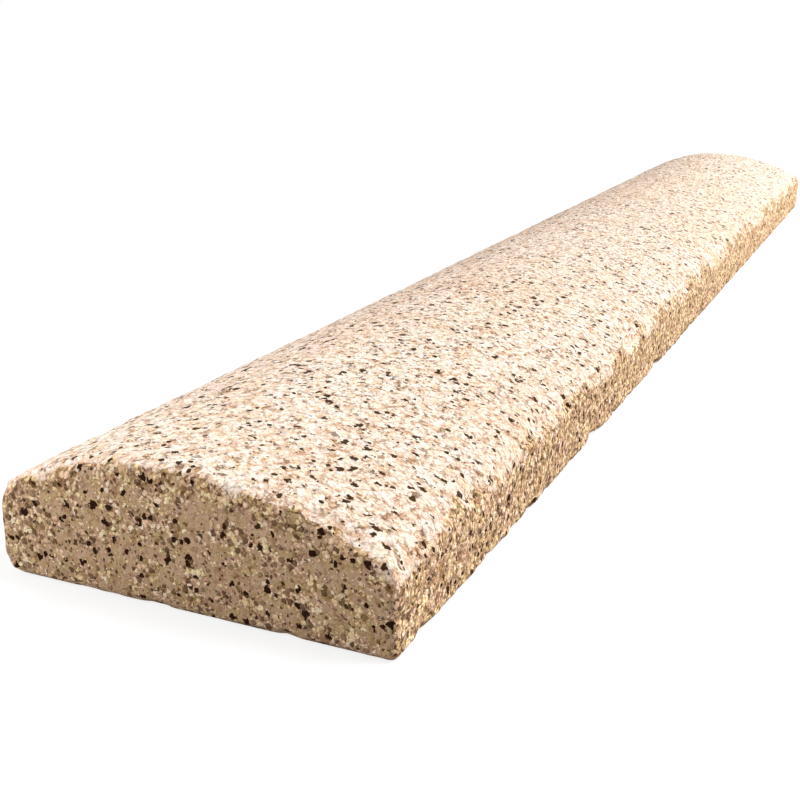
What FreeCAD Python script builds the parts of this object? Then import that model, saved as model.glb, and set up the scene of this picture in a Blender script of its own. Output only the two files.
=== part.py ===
"""Granite kerb: one solid stone with a domed top, a flat bed and eased arrises.

The row frame is in millimetres. X runs along the kerb, Y across it and Z up. The origin is the
middle of the bed, which is the face that the kerb lies on.
"""

import FreeCAD, Part
import os
import Sketcher

NODE = "kerb_stone"
PARTS_FOLDER = "parts"

# Driving dimensions, in millimetres: alias, value and what it is.
SIZES = (
    ("kerb_length", 2000.0, "overall length of the stone"),
    ("kerb_width", 300.0, "overall width across the bed"),
    ("side_height", 63.0, "height of each upright side, from the bed to the brow"),
    ("crown_height", 102.0, "height of the dome's crown above the bed"),
    ("crown_offset", 16.0, "distance of the crown from the middle of the width, towards +Y"),
    ("corner_radius", 8.0, "rounding of the four upright corners"),
    ("bed_arris_radius", 6.0, "rounding of the arris round the bed"),
    ("top_arris_radius", 6.0, "rounding of the arris round the domed top"),
)

# Sketcher's numbers for the points of an edge and for the sketch's own origin.
START, END, CENTRE = 1, 2, 3
SKETCH_ORIGIN = (-1, 1)

NEAR = 1e-4  # two lengths that differ by less than this are the same


def make_sheet(doc):
    """The spreadsheet of driving dimensions, with one alias to a row."""
    sheet = doc.addObject("Spreadsheet::Sheet", "sizes")
    for row, (alias, value, meaning) in enumerate(SIZES, start=1):
        sheet.set(f"A{row}", alias)
        sheet.set(f"B{row}", str(value))
        sheet.set(f"C{row}", meaning)
        sheet.setAlias(f"B{row}", alias)
    doc.recompute()
    return sheet


def origin_plane(body, role):
    """One of the body's own origin planes, such as YZ_Plane."""
    return next(feature for feature in body.Origin.OriginFeatures if feature.Role == role)


def size_constraint(sketch, alias, *reference):
    """A dimensional constraint that follows a cell of the sheet."""
    value = dict((name, number) for name, number, _ in SIZES)[alias]
    number = sketch.addConstraint(Sketcher.Constraint(*reference, value))
    sketch.renameConstraint(number, alias)
    sketch.setExpression(f"Constraints.{alias}", f"sizes.{alias}")


def make_section(body, sizes):
    """The cross-section: the bed, two upright sides and two arcs that meet level at the crown."""
    half = sizes.kerb_width / 2
    side = sizes.side_height
    crown = FreeCAD.Vector(sizes.crown_offset, sizes.crown_height, 0)

    def point(across, up):
        return FreeCAD.Vector(across, up, 0)

    def dome_arc(foot_across):
        """Arc from the crown down to a brow, with its centre straight below the crown."""
        run = abs(foot_across - crown.x)
        rise = crown.y - side
        radius = (run**2 + rise**2) / (2 * rise)
        circle = Part.Circle(point(crown.x, crown.y - radius), FreeCAD.Vector(0, 0, 1), radius)
        brow_angle, crown_angle = (circle.parameter(p) for p in (point(foot_across, side), crown))
        return Part.ArcOfCircle(circle, min(brow_angle, crown_angle), max(brow_angle, crown_angle))

    sketch = body.newObject("Sketcher::SketchObject", "section")
    sketch.AttachmentSupport = [(origin_plane(body, "YZ_Plane"), "")]
    sketch.MapMode = "FlatFace"

    bed = sketch.addGeometry(Part.LineSegment(point(-half, 0), point(half, 0)))
    left_side = sketch.addGeometry(Part.LineSegment(point(half, 0), point(half, side)))
    left_dome = sketch.addGeometry(dome_arc(half))  # runs from the left brow up to the crown
    right_dome = sketch.addGeometry(dome_arc(-half))  # runs from the crown down to the right brow
    right_side = sketch.addGeometry(Part.LineSegment(point(-half, side), point(-half, 0)))

    for first, second in (
        (bed, left_side),
        (left_side, left_dome),
        (left_dome, right_dome),
        (right_dome, right_side),
        (right_side, bed),
    ):
        sketch.addConstraint(Sketcher.Constraint("Coincident", first, END, second, START))
    sketch.addConstraint(Sketcher.Constraint("Horizontal", bed))
    sketch.addConstraint(Sketcher.Constraint("Vertical", left_side))
    sketch.addConstraint(Sketcher.Constraint("Vertical", right_side))
    sketch.addConstraint(Sketcher.Constraint("Equal", left_side, right_side))
    sketch.addConstraint(Sketcher.Constraint("Symmetric", bed, START, bed, END, *SKETCH_ORIGIN))
    for dome in (left_dome, right_dome):
        sketch.addConstraint(Sketcher.Constraint("Vertical", dome, CENTRE, left_dome, END))
    size_constraint(sketch, "kerb_width", "DistanceX", bed, START, bed, END)
    size_constraint(sketch, "side_height", "DistanceY", left_side, START, left_side, END)
    size_constraint(sketch, "crown_offset", "DistanceX", *SKETCH_ORIGIN, left_dome, END)
    size_constraint(sketch, "crown_height", "DistanceY", *SKETCH_ORIGIN, left_dome, END)
    body.Document.recompute()
    return sketch


def make_block(body, section):
    """The stone with sharp arrises: the section padded half its length each way."""
    block = body.newObject("PartDesign::Pad", "block")
    block.Profile = section
    block.SideType = "Symmetric"
    block.setExpression("Length", "sizes.kerb_length")
    body.Document.recompute()
    return block


def round_edges(body, label, alias, chosen):
    """Rounds the edges of the body's present shape for which chosen(edge) is true."""
    base = body.Tip
    edges = enumerate(base.Shape.Edges, start=1)
    names = [f"Edge{number}" for number, edge in edges if chosen(edge)]
    if not names:
        raise RuntimeError(f"{label} found no edge to round")
    fillet = body.newObject("PartDesign::Fillet", label)
    fillet.Base = (base, names)
    fillet.setExpression("Radius", f"sizes.{alias}")
    body.Document.recompute()
    return fillet


def is_upright(edge):
    """True for a straight edge that stands along Z."""
    foot, head = edge.Vertexes[0], edge.Vertexes[-1]
    return abs(foot.X - head.X) < NEAR and abs(foot.Y - head.Y) < NEAR


def is_on_bed(edge):
    """True for an edge that lies in the plane of the bed."""
    return max(vertex.Z for vertex in edge.Vertexes) < NEAR


def top_edge_test(sizes):
    """A test for the edges of the loop that goes round the domed top."""

    def runs_round_top(edge):
        lowest = min(vertex.Z for vertex in edge.Vertexes)
        is_crown_line = lowest > sizes.crown_height - NEAR
        return lowest > sizes.side_height - NEAR and not is_crown_line

    return runs_round_top


def make_kerb(doc, sizes):
    """The whole kerb as one body."""
    body = doc.addObject("PartDesign::Body", "kerb")
    body.Label = NODE
    section = make_section(body, sizes)
    make_block(body, section)
    round_edges(body, "corners", "corner_radius", is_upright)
    round_edges(body, "bed_arris", "bed_arris_radius", is_on_bed)
    round_edges(body, "top_arris", "top_arris_radius", top_edge_test(sizes))
    body.Placement = FreeCAD.Placement()
    return body


def check(doc, body):
    """Stops the build if an object failed or the stone isn't one valid solid."""
    for thing in doc.Objects:
        if {"Invalid", "Error"} & set(thing.State):
            raise RuntimeError(f"{thing.Label} failed: {thing.State}")
    shape = body.Shape
    if shape.isNull() or not shape.isValid() or len(shape.Solids) != 1:
        raise RuntimeError(f"{body.Label} isn't one valid solid")


def report(body):
    """Prints the stone's overall size and volume."""
    box = body.Shape.optimalBoundingBox(False)
    overall = " x ".join(f"{length:.2f}" for length in (box.XLength, box.YLength, box.ZLength))
    print(f"{body.Label}: {overall} mm, {body.Shape.Volume / 1e9:.5f} m3")


def main():
    """Builds the kerb, checks it and writes its STEP file."""
    doc = FreeCAD.newDocument("granite_kerb")
    sizes = make_sheet(doc)
    kerb = make_kerb(doc, sizes)
    doc.recompute()
    check(doc, kerb)
    os.makedirs(PARTS_FOLDER, exist_ok=True)
    kerb.Shape.exportStep(os.path.join(PARTS_FOLDER, f"{kerb.Label}.step"))
    report(kerb)


main()
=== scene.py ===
"""Looks of the granite kerb: one dressed stone with real relief and a grained material.

Lengths are in metres in the row frame: X runs along the kerb, Y across it and Z up, with the
origin in the middle of the bed. The stone is a lattice of faces that is shaped to the kerb's
section, rounded at its arrises and then worn inwards, so it stays inside the CAD solid.
"""

import logging
import math
from collections.abc import Callable
from dataclasses import dataclass, field
from enum import Enum
from typing import Any

import bmesh
import bpy
from mathutils import Matrix, Vector, noise

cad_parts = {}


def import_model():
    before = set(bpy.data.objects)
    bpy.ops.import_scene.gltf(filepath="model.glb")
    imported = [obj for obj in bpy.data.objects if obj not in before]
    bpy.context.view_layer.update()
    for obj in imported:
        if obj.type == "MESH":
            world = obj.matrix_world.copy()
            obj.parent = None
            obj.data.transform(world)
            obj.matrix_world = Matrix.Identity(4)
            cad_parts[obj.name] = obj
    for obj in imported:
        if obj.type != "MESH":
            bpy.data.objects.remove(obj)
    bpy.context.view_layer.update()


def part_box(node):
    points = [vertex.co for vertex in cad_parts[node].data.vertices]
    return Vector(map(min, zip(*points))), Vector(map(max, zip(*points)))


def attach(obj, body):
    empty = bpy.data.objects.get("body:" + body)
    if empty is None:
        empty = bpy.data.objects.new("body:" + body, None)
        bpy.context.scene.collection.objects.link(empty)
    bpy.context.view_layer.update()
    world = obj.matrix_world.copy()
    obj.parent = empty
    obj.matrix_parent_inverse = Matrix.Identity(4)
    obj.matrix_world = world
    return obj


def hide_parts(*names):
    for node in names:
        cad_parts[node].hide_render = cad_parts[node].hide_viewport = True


MM = 0.001
NODE = "kerb_stone"

Triple = tuple[float, float, float]
Colour = Triple
WHITE: Colour = (1.0, 1.0, 1.0)

log = logging.getLogger("granite_kerb")


class Blend(Enum):
    """How two colours are mixed."""

    MIX = "MIX"
    MULTIPLY = "MULTIPLY"


# ---------------------------------------------------------------- shader wiring


class Signal:
    """One output socket that can be used in Python arithmetic.

    Args:
        graph: The graph that the socket's node belongs to.
        socket: The output socket.
    """

    def __init__(self, graph: "Graph", socket: bpy.types.NodeSocket) -> None:
        self.graph = graph
        self.socket = socket

    def _maths(self, operation: str, *values: Any, clamp: bool = False) -> "Signal":
        """Adds a Math node or, for a vector, a Vector Math node.

        Args:
            operation: What the node does.
            values: Its inputs in order, each a number or a Signal.
            clamp: Whether a number's result is kept within 0 to 1.

        Returns:
            The result.
        """
        if self.socket.type == "VECTOR":
            settings = {"operation": operation}
            return self.graph.node("ShaderNodeVectorMath", settings, dict(enumerate(values)))
        settings = {"operation": operation, "use_clamp": clamp}
        return self.graph.node("ShaderNodeMath", settings, dict(enumerate(values)))

    def __add__(self, other: Any) -> "Signal":
        """This signal plus another or a number."""
        return self._maths("ADD", self, other)

    def __sub__(self, other: Any) -> "Signal":
        """This signal minus another or a number."""
        return self._maths("SUBTRACT", self, other)

    def __mul__(self, other: Any) -> "Signal":
        """This signal times another or a number."""
        return self._maths("MULTIPLY", self, other)

    def __radd__(self, other: Any) -> "Signal":
        """A number plus this signal."""
        return self._maths("ADD", other, self)

    def __rsub__(self, other: Any) -> "Signal":
        """A number minus this signal."""
        return self._maths("SUBTRACT", other, self)

    def __rmul__(self, other: Any) -> "Signal":
        """A number times this signal."""
        return self._maths("MULTIPLY", other, self)

    def scaled(self, factor: float) -> "Signal":
        """A vector signal times one number."""
        inputs = {0: self, "Scale": factor}
        return self.graph.node("ShaderNodeVectorMath", {"operation": "SCALE"}, inputs)

    def highest(self, other: Any) -> "Signal":
        """The larger of this signal and another."""
        return self._maths("MAXIMUM", self, other)

    def above(self, level: Any, width: float = 0.02) -> "Signal":
        """A step from 0 to 1 as the signal rises past the level.

        Args:
            level: The level that the step is centred on.
            width: How far the step is spread, half each side of the level.

        Returns:
            The step.
        """
        return self._maths("MULTIPLY_ADD", self - level, 1.0 / width, 0.5, clamp=True)

    def below(self, level: Any, width: float = 0.02) -> "Signal":
        """A step from 1 to 0 as the signal rises past the level, spread like above()."""
        return 1.0 - self.above(level, width)


class Graph:
    """A node tree that is written as expressions.

    Args:
        tree: The node tree to fill.
    """

    def __init__(self, tree: bpy.types.NodeTree) -> None:
        self.tree = tree
        tree.nodes.clear()

    def node(
        self,
        kind: str,
        settings: dict[str, Any] | None = None,
        inputs: dict[str | int, Any] | None = None,
        output: str | int = 0,
    ) -> Signal:
        """Adds a node.

        Args:
            kind: The node's type name.
            settings: Attributes of the node itself.
            inputs: Socket name or number to a value or a Signal.
            output: Name or number of the output to return.

        Returns:
            The chosen output as a Signal.
        """
        made = self._add(kind, settings or {}, inputs or {})
        return Signal(self, made.outputs[output])

    def end(self, kind: str, surface: Signal) -> None:
        """Adds the tree's output node and feeds it the surface."""
        self._add(kind, {}, {"Surface": surface})

    def _add(
        self, kind: str, settings: dict[str, Any], inputs: dict[str | int, Any]
    ) -> bpy.types.Node:
        """Adds a node, sets it and links or fills its inputs.

        Args:
            kind: The node's type name.
            settings: Attributes of the node itself.
            inputs: Socket name or number to a value or a Signal.

        Returns:
            The new node.
        """
        made = self.tree.nodes.new(kind)
        for name, value in settings.items():
            setattr(made, name, value)
        for key, value in inputs.items():
            if isinstance(value, Signal):
                self.tree.links.new(value.socket, made.inputs[key])
            else:
                made.inputs[key].default_value = value
        return made

    def mix(self, factor: Any, first: Any, second: Any, blend: Blend = Blend.MIX) -> Signal:
        """Mixes two colours.

        Args:
            factor: How much of the second colour shows, from 0 to 1.
            first: Colour tuple or Signal.
            second: Colour tuple or Signal.
            blend: How they are combined.

        Returns:
            The mixed colour.
        """
        a, b = ((*c, 1.0) if isinstance(c, tuple) else c for c in (first, second))
        settings = {"data_type": "RGBA", "blend_type": blend.value, "clamp_factor": True}
        return self.node("ShaderNodeMix", settings, {0: factor, 6: a, 7: b}, output=2)

    def noise(self, where: Signal, grain: float, detail: float = 2.0) -> Signal:
        """Smooth noise.

        Args:
            where: Position.
            grain: About how far across a blotch is.
            detail: How many finer layers are added.

        Returns:
            The noise, from 0 to 1.
        """
        inputs = {"Vector": where, "Scale": 1.0 / grain, "Detail": detail, "Roughness": 0.6}
        return self.node("ShaderNodeTexNoise", {}, inputs)

    def cells(self, where: Signal, size: float) -> "Cells":
        """Divides space into crystals.

        Args:
            where: Position.
            size: About how far apart the crystals' middles are.

        Returns:
            Each crystal's own distance and random values.
        """
        made = self._add("ShaderNodeTexVoronoi", {}, {"Vector": where, "Scale": 1.0 / size})
        split = self._add("ShaderNodeSeparateColor", {}, {0: Signal(self, made.outputs["Color"])})
        randoms = (Signal(self, output) for output in split.outputs)
        return Cells(Signal(self, made.outputs["Distance"]), *randoms)

    def vector(self, value: Triple) -> Signal:
        """A fixed vector as a signal."""
        return self.node("ShaderNodeCombineXYZ", {}, dict(zip("XYZ", value)))

    def wobble(self, where: Signal, grain: float, reach: float) -> Signal:
        """A small push in any direction.

        Args:
            where: Position.
            grain: Over what length the push changes.
            reach: About the longest push.

        Returns:
            The push as a vector.
        """
        inputs = {"Vector": where, "Scale": 1.0 / grain, "Detail": 2.0}
        colour = self.node("ShaderNodeTexNoise", {}, inputs, "Color")
        inputs = {0: colour, 1: (0.5, 0.5, 0.5)}
        centred = self.node("ShaderNodeVectorMath", {"operation": "SUBTRACT"}, inputs)
        return centred.scaled(4.0 * reach)

    def rays(self) -> Signal:
        """Tells what is seen from what only lights.

        Returns:
            1 for what the camera sees, straight or in a mirror or through glass, otherwise 0.
        """
        path = self._add("ShaderNodeLightPath", {}, {})
        names = ("Is Camera Ray", "Is Glossy Ray", "Is Transmission Ray")
        camera, glossy, through = (Signal(self, path.outputs[name]) for name in names)
        return camera.highest(glossy).highest(through)

    def ramp(self, signal: Signal, stops: tuple[tuple[float, Colour], ...]) -> Signal:
        """Picks a flat colour by the signal's value.

        Args:
            signal: The value to look up, from 0 to 1.
            stops: Pairs of the value that a colour starts at and the colour.

        Returns:
            The colour.
        """
        found = self.node("ShaderNodeValToRGB", {}, {0: signal})
        band = found.socket.node.color_ramp
        band.interpolation = "CONSTANT"
        while len(band.elements) < len(stops):
            band.elements.new(1.0)
        for element, (start, colour) in zip(band.elements, stops):
            element.position = start
            element.color = (*colour, 1.0)
        return found


@dataclass(frozen=True)
class Cells:
    """One layer of crystals.

    Args:
        distance: Distance from the crystal's middle, about 0 to 0.9.
        kind: Random value of the crystal, for its colour.
        chance: Random value of the crystal, for whether it shows.
        spread: Random value of the crystal, for its size.
    """

    distance: Signal
    kind: Signal
    chance: Signal
    spread: Signal


# ---------------------------------------------------------------- finishes


Stops = tuple[tuple[float, Colour], ...]

# The mesh's own values: 1 on the hammered top, less on the sides and 0 on the ends.
DRESSED = "dressed"


@dataclass(frozen=True)
class GraniteFinish:
    """Colours and sizes of the granite's grain, with the warm dark of the painted shade in its
    crevices. Lengths are in metres, colours are linear.
    """

    matrix: Colour = (0.62, 0.44, 0.285)
    matrix_dark: Colour = (0.50, 0.35, 0.225)
    sawn_grains: Stops = (
        (0.00, (0.97, 0.73, 0.48)),
        (0.24, (0.80, 0.56, 0.36)),
        (0.42, (0.60, 0.44, 0.22)),
        (0.50, (1.00, 0.82, 0.60)),
        (0.68, (0.34, 0.21, 0.12)),
        (0.80, (0.70, 0.48, 0.30)),
        (0.88, (0.17, 0.095, 0.05)),
        (0.997, (0.80, 0.42, 0.10)),
        (0.9985, (0.34, 0.12, 0.06)),
    )
    skin_grains: Stops = (
        (0.00, (0.98, 0.88, 0.79)),
        (0.30, (0.95, 0.72, 0.54)),
        (0.52, (1.00, 0.93, 0.87)),
        (0.77, (0.81, 0.54, 0.37)),
        (0.87, (0.97, 0.79, 0.64)),
        (0.905, (0.34, 0.21, 0.135)),
        (0.998, (0.85, 0.52, 0.18)),
    )
    chip: Colour = (0.024, 0.006, 0.001)
    skin_chip: Colour = (0.055, 0.024, 0.008)
    # Painted shade: the warm dark that is multiplied into seams, pits, hollows and grain rims to
    # stand for the shadow in the relief's crevices.
    painted_shade: Colour = (0.48, 0.31, 0.185)
    blush: Colour = (0.90, 0.64, 0.46)
    fleck: Colour = (1.00, 0.94, 0.89)
    olive: Colour = (0.97, 0.98, 0.84)
    mauve: Colour = (1.00, 0.955, 1.00)
    chip_size: float = 5.2 * MM
    grain_size: float = 4.6 * MM
    fine_size: float = 2.7 * MM
    fine_shift: Triple = (0.37, 0.11, 0.53)
    chip_shift: Triple = (0.71, 0.29, 0.17)
    bump_depth: float = 2.0 * MM
    roughness: float = 0.92
    specular: float = 0.06

    def build(self, name: str) -> bpy.types.Material:
        """Makes the material.

        Args:
            name: The material's name.

        Returns:
            The finished material, which reads Object coordinates and the mesh's dressed values.
        """
        material = bpy.data.materials.new(name)
        material.use_nodes = True
        graph = Graph(material.node_tree)
        place = graph.node("ShaderNodeTexCoord", {}, {}, "Object")
        bent = place + graph.wobble(place, 4.0 * MM, 0.9 * MM)
        crooked = place + graph.wobble(place, 3.0 * MM, 1.6 * MM)
        grains = graph.cells(bent, self.grain_size)
        fines = graph.cells(bent + graph.vector(self.fine_shift), self.fine_size)
        flakes = graph.cells(crooked + graph.vector(self.chip_shift), self.chip_size)
        speckle = graph.noise(place, 2.0 * MM, 3.0)
        crust = graph.noise(crooked, 6.5 * MM, 2.0)
        cloud = graph.noise(place, 16.0 * MM, 3.0)

        dressed = graph.node("ShaderNodeAttribute", {"attribute_name": DRESSED}, {}, "Fac")
        ragged = 0.55 * (speckle - 0.5) + 0.35 * (grains.kind - 0.5)
        skin_share = (dressed + ragged).above(0.5, 0.14)
        hammered = dressed.above(0.12, 0.12)
        room = cloud.above(0.47, 0.10).highest(hammered)
        chips = self._chips(flakes, grains, fines)
        pebbles = self._pebbles(grains, room)
        crumbs = fines.distance.below(0.28 + 0.28 * room, 0.06)

        sawn = self._sawn(graph, place, (grains, fines), (pebbles, crumbs))
        skin = self._skin(graph, place, grains, fines)
        skin = graph.mix(crust.above(0.57, 0.08) * 0.55, skin, self.fleck)
        skin = graph.mix(dressed.below(0.90, 0.30) * 0.40, skin, self.blush)
        colour = graph.mix(skin_share, sawn, skin)
        # Painted shade: the seams between grains are darkened, more on the hammered faces, to stand
        # for the shadow between them.
        seam_shade = grains.distance.above(0.60, 0.16).highest(fines.distance.above(0.62, 0.14) * 0.8)
        colour = graph.mix(seam_shade * (0.25 + 0.12 * hammered), colour, self.painted_shade, Blend.MULTIPLY)
        toned = self._tint(graph, place, grains, colour)
        colour = graph.mix(1.0 - 0.65 * skin_share, colour, toned)
        # Painted shade: small pits and larger hollows are darkened to stand for the shadow in the
        # hammered relief's crevices.
        pit_shade = speckle.below(0.41, 0.12) * (0.50 + 0.25 * hammered - 0.40 * skin_share)
        colour = graph.mix(pit_shade, colour, self.painted_shade, Blend.MULTIPLY)
        hollow_shade = crust.below(0.40, 0.05) * (0.45 + 0.25 * hammered - 0.15 * skin_share)
        colour = graph.mix(hollow_shade, colour, self.painted_shade, Blend.MULTIPLY)
        colour = graph.mix(chips, colour, graph.mix(skin_share, self.chip, self.skin_chip))

        rough = self.roughness - 0.18 * pebbles - 0.12 * chips
        proud = pebbles.highest(hammered), crumbs.highest(hammered)
        height = self._relief(grains, fines, proud, speckle) - 0.15 * chips
        height = height + 1.2 * crust * (0.15 + 0.85 * hammered)
        inputs = {"Strength": 1.0, "Distance": self.bump_depth, "Height": height}
        bump = graph.node("ShaderNodeBump", {}, inputs)
        inputs = {
            "Base Color": colour,
            "Roughness": rough,
            "Normal": bump,
            "Specular IOR Level": self.specular,
        }
        surface = graph.node("ShaderNodeBsdfPrincipled", {}, inputs)
        graph.end("ShaderNodeOutputMaterial", surface)
        return material

    @staticmethod
    def _pebbles(grains: Cells, room: Signal) -> Signal:
        """Where the round pale grains show: thickly where there is room, thinly elsewhere."""
        return grains.distance.below(0.12 + 0.30 * room + 0.16 * grains.spread, 0.06)

    @staticmethod
    def _chips(flakes: Cells, grains: Cells, fines: Cells) -> Signal:
        """Where the black mica shows.

        Args:
            flakes: The layer of whole angular crystals.
            grains: The layer of small round ones.
            fines: The layer of specks.

        Returns:
            1 on the mica and 0 off it.
        """
        large = flakes.chance.above(0.915) * flakes.distance.below(0.34 + 0.32 * flakes.spread, 0.04)
        small = grains.chance.above(0.940) * grains.distance.below(0.42, 0.04)
        tiny = fines.chance.above(0.950) * fines.distance.below(0.46, 0.06)
        return large.highest(small).highest(tiny * 0.8)

    def _sawn(
        self,
        graph: Graph,
        place: Signal,
        layers: tuple[Cells, Cells],
        masks: tuple[Signal, Signal],
    ) -> Signal:
        """Colour of the sawn faces: a smooth matrix with round grains and crumbs set in it, each
        ringed with painted shade.

        Args:
            graph: The material's graph.
            place: Position.
            layers: The grains and the crumbs.
            masks: Where each of the two shows.

        Returns:
            The colour.
        """
        colour = graph.mix(graph.noise(place, 9.0 * MM, 4.0), self.matrix_dark, self.matrix)
        for cells, mask in reversed(tuple(zip(layers, masks))):
            # Painted shade: a thin dark rim round each grain and crumb stands for the shadow where it
            # meets the matrix.
            edge = mask * (1.0 - mask) * 4.0
            colour = graph.mix(mask * 0.92, colour, graph.ramp(cells.kind, self.sawn_grains))
            colour = graph.mix(edge * 0.65, colour, self.painted_shade, Blend.MULTIPLY)
        return colour

    def _skin(self, graph: Graph, place: Signal, grains: Cells, fines: Cells) -> Signal:
        """Colour of the hammered skin: a mosaic of crushed pale crystals.

        Args:
            graph: The material's graph.
            place: Position.
            grains: The larger crystals.
            fines: The smaller crystals.

        Returns:
            The colour.
        """
        colour = graph.ramp(grains.kind, self.skin_grains)
        crumbs = fines.distance.below(0.50, 0.10) * 0.80
        colour = graph.mix(crumbs, colour, graph.ramp(fines.kind, self.skin_grains))
        blush = graph.noise(place, 160.0 * MM, 3.0).above(0.54, 0.22)
        return graph.mix(blush * 0.35, colour, self.blush)

    def _tint(self, graph: Graph, place: Signal, grains: Cells, colour: Signal) -> Signal:
        """Leans whole grains and small patches towards olive or mauve.

        Args:
            graph: The material's graph.
            place: Position.
            grains: The larger crystals.
            colour: The colour to lean.

        Returns:
            The colour.
        """
        lean = graph.noise(place, 11.0 * MM, 3.0) + 0.45 * (grains.spread - 0.5)
        colour = graph.mix(lean.above(0.56, 0.12), colour, self.olive, Blend.MULTIPLY)
        return graph.mix(lean.below(0.42, 0.12), colour, self.mauve, Blend.MULTIPLY)

    @staticmethod
    def _relief(
        grains: Cells, fines: Cells, proud: tuple[Signal, Signal], speckle: Signal
    ) -> Signal:
        """Height of the surface.

        Args:
            grains: The larger crystals, each a low dome.
            fines: The crumbs between them, each a lower one.
            proud: Where each of the two stands out.
            speckle: The roughness over everything.

        Returns:
            The height as a share of the bump's depth.
        """
        domes = proud[0] * (1.0 - 1.6 * grains.distance * grains.distance)
        beads = proud[1] * (1.0 - 1.6 * fines.distance * fines.distance)
        return 0.55 * domes + 0.28 * beads + 0.35 * speckle * (0.4 + proud[0])


# ---------------------------------------------------------------- the stone


@dataclass(frozen=True)
class Section:
    """The kerb's section and its rounded arrises, in metres.

    Args:
        half_length: Half the length.
        half_width: Half the width.
        crown_height: Height of the crown above the bed.
        side_height: Height of the upright sides.
        crown_offset: How far the crown is from the middle of the width.
        corner_radius: Radius of the four upright corners.
        bed_radius: Radius of the arris round the bed.
        top_radius: Radius of the arris round the top.
    """

    half_length: float
    half_width: float
    crown_height: float
    side_height: float = 63.0 * MM
    crown_offset: float = 16.0 * MM
    corner_radius: float = 8.0 * MM
    bed_radius: float = 6.0 * MM
    top_radius: float = 6.0 * MM

    def top(self, y: float) -> float:
        """Height of the domed top above the bed.

        Args:
            y: Distance from the middle of the width.

        Returns:
            The height, on one of two arcs that meet level at the crown.
        """
        run = self.half_width - math.copysign(self.crown_offset, y - self.crown_offset)
        rise = self.crown_height - self.side_height
        radius = (run * run + rise * rise) / (2.0 * rise)
        across = min(abs(y - self.crown_offset), run)
        return self.crown_height - radius + math.sqrt(radius * radius - across * across)

    def in_from_outline(self, x: float, y: float) -> tuple[float, Vector]:
        """Where a point lies in the kerb's outline seen from above.

        Args:
            x: Distance along the kerb from its middle.
            y: Distance across the kerb from its middle.

        Returns:
            How far the point is inside the outline and the outline's outward direction there.
        """
        r = self.corner_radius
        qx = abs(x) - (self.half_length - r)
        qy = abs(y) - (self.half_width - r)
        sx, sy = math.copysign(1.0, x), math.copysign(1.0, y)
        if qx > 0.0 and qy > 0.0:
            reach = math.hypot(qx, qy)
            return r - reach, Vector((sx * qx / reach, sy * qy / reach, 0.0))
        if qx > qy:
            return r - qx, Vector((sx, 0.0, 0.0))
        return r - qy, Vector((0.0, sy, 0.0))


@dataclass(frozen=True)
class Band:
    """How the lattice's lines are spaced along one axis: close at both ends, even between.

    Args:
        lines: How many spaces there are in all.
        end_lines: How many of them are close ones at each end.
        end_length: The length that the close ones cover, in metres.
    """

    lines: int
    end_lines: int
    end_length: float

    def at(self, index: int, total: float) -> float:
        """Distance of one line from the axis's low end.

        Args:
            index: The line's number, from 0 to lines.
            total: The whole length to cover.

        Returns:
            The distance.
        """
        if index <= self.end_lines:
            return self.end_length * index / self.end_lines
        if index >= self.lines - self.end_lines:
            return total - self.end_length * (self.lines - index) / self.end_lines
        middle = total - 2.0 * self.end_length
        return self.end_length + middle * (index - self.end_lines) / (self.lines - 2 * self.end_lines)


@dataclass(frozen=True)
class Knock:
    """A spot knocked off the stone.

    Args:
        share: Its place, each number a share of the half length, half width and crown height.
        depth: How deep it is, in metres.
        reach: How wide it is, in metres.
    """

    share: Triple
    depth: float
    reach: float

    def depth_at(self, place: Vector, section: Section) -> float:
        """How deep the knock is at a point.

        Args:
            place: The point.
            section: The stone's section.

        Returns:
            The depth.
        """
        size = (section.half_length, section.half_width, section.crown_height)
        away = place - Vector(a * b for a, b in zip(self.share, size))
        return self.depth * math.exp(-away.length_squared / self.reach**2)


@dataclass(frozen=True)
class Break:
    """A corner broken off nearly flat.

    Args:
        share: The corner, each number a share of the half length, half width and crown height.
        legs: How far the break reaches along X, Y and Z, in metres, each signed as outward.
        roughness: How uneven the break is, in metres.
    """

    share: Triple
    legs: Triple
    roughness: float = 0.8 * MM

    def trimmed(self, place: Vector, section: Section) -> Vector:
        """Moves a point straight onto the break if it lies outside it.

        Args:
            place: The point.
            section: The stone's section.

        Returns:
            The point, moved or not.
        """
        size = (section.half_length, section.half_width, section.crown_height)
        corner = Vector(a * b for a, b in zip(self.share, size))
        slope = Vector(1.0 / leg for leg in self.legs)
        outward = slope.normalized()
        over = (place - corner).dot(outward) + 1.0 / slope.length
        over += self.roughness * noise.noise(place * 90.0)
        return place - outward * max(0.0, over)


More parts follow.
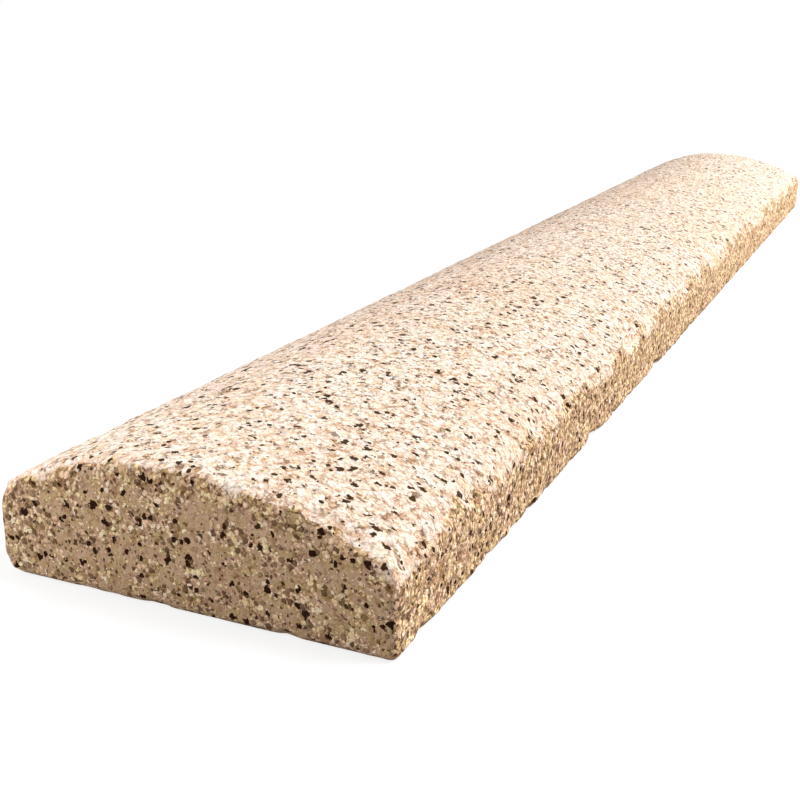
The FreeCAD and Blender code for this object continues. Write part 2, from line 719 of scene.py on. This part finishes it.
@dataclass(frozen=True)
class Wear:
    """Depths of the relief, in metres, all cut inwards.

    Args:
        hammer_depth: Of the tooling on the top and the sides.
        sawn_depth: Of the marks on the ends.
        wave_depth: Of the long waves in every face but the bed.
        wave_start: Height above the bed at which the long waves are at their full depth.
        nibble_depth: Of the small chips along the arrises.
        nibble_reach: How far from an arris the small chips go.
        knocks: Spots knocked off.
        breaks: Corners broken off.
        soften_depth: Of the wear along the whole top arris.
        soften_reach: How far that wear goes.
        ragged_reach: How far the hammered skin's edge wanders about the top arris.
        scallop_depth: Of the long chips along the top arris.
        scallop_reach: How far the long chips go.
    """

    hammer_depth: float = 1.9 * MM
    sawn_depth: float = 0.35 * MM
    wave_depth: float = 1.2 * MM
    wave_start: float = 10.0 * MM
    nibble_depth: float = 5.0 * MM
    nibble_reach: float = 9.0 * MM
    knocks: tuple[Knock, ...] = (
        Knock((-1.000, 1.00, 0.60), 3.0 * MM, 8.0 * MM),
        Knock((-0.988, -1.00, 0.22), 4.0 * MM, 6.0 * MM),
        Knock((-0.982, -1.00, 0.12), 3.0 * MM, 6.0 * MM),
        Knock((-0.992, -0.20, 0.97), 3.0 * MM, 7.0 * MM),
        Knock((-0.990, -0.38, 0.92), 3.5 * MM, 7.0 * MM),
        Knock((-0.992, -0.62, 0.82), 4.0 * MM, 8.0 * MM),
        Knock((-0.860, -1.00, 0.62), 5.0 * MM, 12.0 * MM),
        Knock((-0.640, -1.00, 0.62), 6.0 * MM, 14.0 * MM),
        Knock((-0.560, -1.00, 0.00), 5.0 * MM, 16.0 * MM),
        Knock((-0.300, -1.00, 0.00), 5.0 * MM, 14.0 * MM),
        Knock((0.100, -1.00, 0.62), 5.0 * MM, 16.0 * MM),
        Knock((0.520, -1.00, 0.62), 5.0 * MM, 14.0 * MM),
        Knock((0.330, 1.00, 0.62), 6.0 * MM, 16.0 * MM),
        Knock((-0.270, 1.00, 0.62), 6.0 * MM, 13.0 * MM),
        Knock((-0.610, 1.00, 0.00), 6.0 * MM, 13.0 * MM),
        Knock((1.000, 1.00, 0.60), 5.0 * MM, 11.0 * MM),
        Knock((1.000, -1.00, 0.00), 5.0 * MM, 11.0 * MM),
        Knock((1.000, 0.35, 0.96), 4.0 * MM, 9.0 * MM),
    )
    breaks: tuple[Break, ...] = (
        Break((-1.0, 1.0, 0.0), (-34.0 * MM, 15.0 * MM, -18.0 * MM)),
        Break((1.0, 1.0, 0.0), (20.0 * MM, 14.0 * MM, -14.0 * MM)),
    )
    soften_depth: float = 2.2 * MM
    soften_reach: float = 7.0 * MM
    ragged_reach: float = 13.0 * MM
    scallop_depth: float = 7.0 * MM
    scallop_reach: float = 13.0 * MM


@dataclass
class KerbStone:
    """The kerb as one worn stone.

    Args:
        section: The kerb's section.
        along: Lattice lines along the kerb.
        across: Lattice lines across the kerb.
        upward: Lattice lines from the bed to the top.
        wear: Depths of the relief.
        finish: The granite's finish.
    """

    section: Section
    along: Band = field(default_factory=lambda: Band(520, 8, 11.0 * MM))
    across: Band = field(default_factory=lambda: Band(66, 8, 11.0 * MM))
    upward: Band = field(default_factory=lambda: Band(20, 5, 7.5 * MM))
    wear: Wear = field(default_factory=Wear)
    finish: GraniteFinish = field(default_factory=GraniteFinish)

    def build(self) -> bpy.types.Object:
        """Builds, wears and dresses the stone.

        Returns:
            The finished object, at the origin.
        """
        bm = self._lattice()
        self._shape(bm)
        self._round_plan_corners(bm)
        self._round_arrises(bm)
        self._cut_relief(bm)
        for face in bm.faces:
            face.smooth = True
        mesh = bpy.data.meshes.new("granite_kerb")
        bm.to_mesh(mesh)
        bm.free()
        mesh.materials.append(self.finish.build("granite"))
        stone = bpy.data.objects.new("granite_kerb", mesh)
        bpy.context.scene.collection.objects.link(stone)
        return stone

    def _lattice(self) -> bmesh.types.BMesh:
        """Makes a unit cube whose six sides are divided into the lattice's rows.

        Returns:
            The new mesh.
        """
        bm = bmesh.new()
        bmesh.ops.create_cube(bm, size=1.0)
        for axis, band in enumerate((self.along, self.across, self.upward)):
            edges = [e for e in bm.edges if abs(e.verts[0].co[axis] - e.verts[1].co[axis]) > 0.5]
            bmesh.ops.subdivide_edges(bm, edges=edges, cuts=band.lines - 1, use_grid_fill=True)
        return bm

    def _shape(self, bm: bmesh.types.BMesh) -> None:
        """Moves the lattice onto the sharp-edged kerb.

        Args:
            bm: The stone's mesh.
        """
        s = self.section
        for vert in bm.verts:
            i, j, k = (
                round((c + 0.5) * band.lines)
                for c, band in zip(vert.co, (self.along, self.across, self.upward))
            )
            x = self.along.at(i, 2.0 * s.half_length) - s.half_length
            y = self.across.at(j, 2.0 * s.half_width) - s.half_width
            vert.co = (x, y, self.upward.at(k, s.top(y)))

    def _round_plan_corners(self, bm: bmesh.types.BMesh) -> None:
        """Rounds the four upright corners by turning squares about each corner's axis into arcs.

        Args:
            bm: The stone's mesh.
        """
        s = self.section
        for vert in bm.verts:
            x, y, z = vert.co
            qx = abs(x) - (s.half_length - s.corner_radius)
            qy = abs(y) - (s.half_width - s.corner_radius)
            if qx > 0.0 and qy > 0.0:
                shrink = max(qx, qy) / math.hypot(qx, qy) - 1.0
                share = z / s.top(y)
                x += qx * shrink * math.copysign(1.0, x)
                y += qy * shrink * math.copysign(1.0, y)
                vert.co = (x, y, share * s.top(y) if share > 0.5 else z)

    def _round_arrises(self, bm: bmesh.types.BMesh) -> None:
        """Rounds the arris round the bed and the one round the top.

        Args:
            bm: The stone's mesh.
        """
        s = self.section
        for vert in bm.verts:
            x, y, z = vert.co
            inside, outward = s.in_from_outline(x, y)
            for radius, depth, up in ((s.bed_radius, z, -1.0), (s.top_radius, s.top(y) - z, 1.0)):
                a, b = radius - inside, radius - depth
                if a > 0.0 and b > 0.0:
                    shrink = max(a, b) / math.hypot(a, b) - 1.0
                    vert.co += outward * (a * shrink)
                    vert.co.z += up * b * shrink

    def _cut_relief(self, bm: bmesh.types.BMesh) -> None:
        """Wears the surface inwards and stores how much of the hammered skin each point has.

        Args:
            bm: The stone's mesh.
        """
        s = self.section
        layer = bm.verts.layers.float.new(DRESSED)
        bm.normal_update()
        moves = []
        for vert in bm.verts:
            p, n = vert.co, vert.normal
            inside, _ = s.in_from_outline(p.x, p.y)
            to_top = math.hypot(max(inside, 0.0), s.top(p.y) - p.z)
            to_bed = math.hypot(max(inside, 0.0), p.z)
            vert[layer] = self._dressing(p, n, to_top)
            move = self._inward(p, to_top < to_bed) * self._arris_wear(p, to_bed, to_top)
            if n.z > -0.95:
                move -= n * self._face_wear(p, n)
            moves.append(move)
        for vert, move in zip(bm.verts, moves):
            place = vert.co + move
            for broken in self.wear.breaks:
                place = broken.trimmed(place, s)
            vert.co = (place.x, place.y, max(place.z, 0.0))

    def _inward(self, place: Vector, top: bool) -> Vector:
        """The way into the stone across an arris, one for both its faces so that nothing folds.

        Args:
            place: The point.
            top: Whether the arris is the top's, not the bed's.

        Returns:
            The direction, turning smoothly round the plan's corners.
        """
        pulls = []
        for half, along in ((self.section.half_length, place.x), (self.section.half_width, place.y)):
            nearness = math.exp(-(((half - abs(along)) / self.wear.nibble_reach) ** 2))
            pulls.append(-math.copysign(nearness, along))
        level = Vector((*pulls, 0.0)).normalized()
        return (level + Vector((0.0, 0.0, -1.0 if top else 1.0))).normalized()

    def _face_wear(self, place: Vector, normal: Vector) -> float:
        """Depth of the tooling on a face.

        Args:
            place: The point.
            normal: The surface's direction there.

        Returns:
            The depth: hammered on the top and the sides, nearly flat on the sawn ends.
        """
        w = self.wear
        end = max(0.0, abs(normal.x) - 0.25) / 0.75
        tooling = 0.5 + 0.5 * noise.noise(place * 150.0)
        tooling += 0.5 * noise.noise(place * 62.0 + Vector((3.1, 7.7, 1.9)))
        wave = 0.5 + 0.5 * noise.noise(place * 6.0 + Vector((11.0, 4.0, 9.0)))
        upright = 1.0 - 0.5 * max(0.0, normal.z)
        tool_depth = w.hammer_depth * (1.0 - end) + w.sawn_depth * end
        above_bed = min(1.0, place.z / w.wave_start)
        return tool_depth * max(0.0, tooling) + w.wave_depth * wave * upright * above_bed

    def _arris_wear(self, place: Vector, to_bed: float, to_top: float) -> float:
        """Depth of the nibbles, scallops and knocks along the arrises.

        Args:
            place: The point.
            to_bed: Distance to the bed's arris.
            to_top: Distance to the top's arris.

        Returns:
            The depth, next to nothing away from the arrises.
        """
        w = self.wear
        bed_arris = math.exp(-((to_bed / w.nibble_reach) ** 2))
        top_arris = math.exp(-((to_top / w.nibble_reach) ** 2))
        bite = noise.noise(place * 34.0 + Vector((5.0, 2.0, 8.0))) + 0.25 * noise.noise(place * 110.0)
        scallop = noise.noise(place * 16.0 + Vector((9.0, 3.0, 5.0))) + 0.15
        return (
            w.nibble_depth * max(0.0, bite) * (bed_arris * 1.1 + top_arris * 1.3)
            + w.soften_depth * math.exp(-((to_top / w.soften_reach) ** 2))
            + w.scallop_depth * max(0.0, scallop) * math.exp(-((to_top / w.scallop_reach) ** 2))
            + sum(knock.depth_at(place, self.section) for knock in w.knocks)
        )

    def _dressing(self, place: Vector, normal: Vector, to_top: float) -> float:
        """How much of the hammered skin shows at a point.

        Args:
            place: The point.
            normal: The surface's direction there.
            to_top: Distance to the top's arris.

        Returns:
            1 on top, a little on the sides and 0 on the ends, ragged near the top's arris.
        """
        up = min(1.0, max(0.0, (normal.z - 0.35) / 0.45))
        near = math.exp(-((to_top / self.wear.ragged_reach) ** 2))
        ragged = noise.noise(place * 45.0) + 0.8 * noise.noise(place * 14.0 + Vector((6.0, 1.0, 2.0)))
        ragged += 0.8 * noise.noise(place * 120.0)
        plain = max(up, 0.25 * abs(normal.y))
        return min(1.0, max(0.0, plain + near * (0.80 * ragged + 0.32 - 0.42 * up)))


# ---------------------------------------------------------------- the set


@dataclass(frozen=True)
class SoftBox:
    """A square area lamp: its name, place, what it faces, its side in metres and its watts."""

    name: str
    place: Triple
    faces: Triple
    side: float
    power: float

    def build(self) -> None:
        """Hangs the lamp."""
        lamp = bpy.data.objects.new(self.name, bpy.data.lights.new(self.name, "AREA"))
        lamp.data.size = self.side
        lamp.data.energy = self.power
        lamp.location = self.place
        lamp.rotation_mode = "QUATERNION"
        away = Vector(self.place) - Vector(self.faces)
        lamp.rotation_quaternion = away.to_track_quat("Z", "Y")
        bpy.context.scene.collection.objects.link(lamp)


@dataclass(frozen=True)
class Studio:
    """Plain floor, soft light and the camera."""

    camera_place: Triple = (-1.571, -0.4018, 0.3687)
    camera_yaw: float = 0.4163
    camera_pitch: float = -0.3137
    camera_roll: float = 0.0125
    lens_mm: float = 53.64
    sun_from: Triple = (0.25, -0.52, 0.82)
    sun_strength: float = 2.54
    sun_spread: float = math.radians(24.0)
    sky: float = 0.27
    boxes: tuple[SoftBox, ...] = (
        SoftBox("far_box", (1.9, -2.0, 0.9), (0.8, 0.0, 0.05), 1.4, 62.0),
        SoftBox("side_box", (0.0, -2.2, 0.9), (0.0, 0.0, 0.05), 1.4, 17.0),
        SoftBox("near_box", (-1.42, 0.66, 0.45), (-1.0, 0.12, 0.05), 0.5, 5.6),
        SoftBox("back_box", (0.0, 1.8, 1.6), (0.0, 0.0, 0.08), 1.4, 13.0),
    )
    floor_half: float = 40.0
    floor_drop: float = 0.5 * MM
    floor_shine: float = 0.80
    floor_colour: Colour = (0.53, 0.52, 0.51)

    def build(self) -> None:
        """Makes the floor, the lights and the camera."""
        self._floor()
        self._light()
        self._camera()
        bpy.context.scene.view_settings.view_transform = "Standard"

    def _floor(self) -> None:
        """A floor that the camera sees as near white and that still takes the stone's shadow."""
        bm = bmesh.new()
        bmesh.ops.create_grid(bm, x_segments=1, y_segments=1, size=self.floor_half)
        mesh = bpy.data.meshes.new("floor")
        bm.to_mesh(mesh)
        bm.free()
        floor = bpy.data.objects.new("floor", mesh)
        floor.location.z = -self.floor_drop
        bpy.context.scene.collection.objects.link(floor)
        material = bpy.data.materials.new("floor")
        material.use_nodes = True
        graph = Graph(material.node_tree)
        place = graph.node("ShaderNodeTexCoord", {}, {}, "Object")
        away = graph.node("ShaderNodeVectorMath", {"operation": "LENGTH"}, {0: place}, "Value")
        shown = graph.rays() * (self.floor_shine + (1.0 - self.floor_shine) * away.above(3.0, 2.0))
        grey, pale = (
            graph.node("ShaderNodeBsdfDiffuse", {}, {"Color": (*colour, 1.0)})
            for colour in (self.floor_colour, WHITE)
        )
        paper = graph.node("ShaderNodeMixShader", {}, {0: graph.rays(), 1: grey, 2: pale})
        white = graph.node("ShaderNodeEmission", {}, {"Color": (*WHITE, 1.0), "Strength": 1.0})
        surface = graph.node("ShaderNodeMixShader", {}, {0: shown, 1: paper, 2: white})
        graph.end("ShaderNodeOutputMaterial", surface)
        mesh.materials.append(material)

    def _light(self) -> None:
        """A wide soft sun, four soft boxes and an even sky that the camera sees as white."""
        sun = bpy.data.objects.new("key", bpy.data.lights.new("key", "SUN"))
        sun.data.energy = self.sun_strength
        sun.data.angle = self.sun_spread
        sun.rotation_mode = "QUATERNION"
        sun.rotation_quaternion = Vector(self.sun_from).to_track_quat("Z", "Y")
        bpy.context.scene.collection.objects.link(sun)
        for box in self.boxes:
            box.build()
        world = bpy.data.worlds.new("sky")
        bpy.context.scene.world = world
        world.use_nodes = True
        graph = Graph(world.node_tree)
        lit, seen = (
            graph.node("ShaderNodeBackground", {}, {"Color": (*WHITE, 1.0), "Strength": strength})
            for strength in (self.sky, 1.0)
        )
        surface = graph.node("ShaderNodeMixShader", {}, {0: graph.rays(), 1: lit, 2: seen})
        graph.end("ShaderNodeOutputWorld", surface)

    def _camera(self) -> None:
        """A camera past the kerb's near end, looking down along it."""
        camera = bpy.data.objects.new("camera", bpy.data.cameras.new("camera"))
        camera.data.lens = self.lens_mm
        camera.data.sensor_width = 36.0
        camera.data.clip_start = 0.01
        turn = (
            Matrix.Rotation(self.camera_yaw, 4, "Z")
            @ Matrix.Rotation(-self.camera_pitch, 4, "Y")
            @ Matrix(((0, 0, -1, 0), (-1, 0, 0, 0), (0, 1, 0, 0), (0, 0, 0, 1)))
            @ Matrix.Rotation(self.camera_roll, 4, "Z")
        )
        camera.matrix_world = Matrix.Translation(self.camera_place) @ turn
        bpy.context.scene.collection.objects.link(camera)
        bpy.context.scene.camera = camera


def main() -> None:
    """Builds the stone and the set."""
    logging.basicConfig(level=logging.INFO, format="%(name)s: %(message)s")
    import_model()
    low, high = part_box(NODE)
    section = Section(half_length=high.x, half_width=high.y, crown_height=high.z)
    stone = KerbStone(section).build()
    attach(stone, "root")
    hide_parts(NODE)
    log.info("%s: %d faces", stone.name, len(stone.data.polygons))
    Studio().build()


if __name__ == "__main__":
    main()
